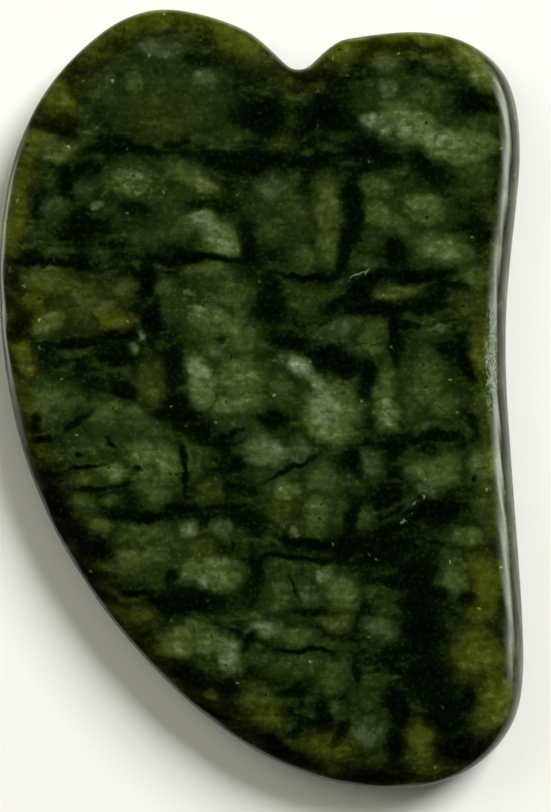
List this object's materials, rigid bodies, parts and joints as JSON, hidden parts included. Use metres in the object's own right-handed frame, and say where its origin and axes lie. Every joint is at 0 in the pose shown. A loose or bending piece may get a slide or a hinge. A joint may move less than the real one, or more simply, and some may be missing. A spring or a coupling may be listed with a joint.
{
  "type": "gua sha scraper",
  "caption": "Flat palm-sized massage board of polished green stone with a double-lobed head, a hollow side and a bowed side, rounded all round.",
  "frame": {"origin": "centre of the outline's box on the lower face", "axes": "+Y along the length towards the two lobes, +Z through the thickness to the upper face, +X towards the hollow side"},
  "size_m": [0.0554, 0.082, 0.006],
  "materials": {
    "polished_green_stone": "polished, mottled dark green with light clouds and near-black veins"
  },
  "bodies": {
    "root": {"stone_board": "polished_green_stone"}
  },
  "joints": []
}
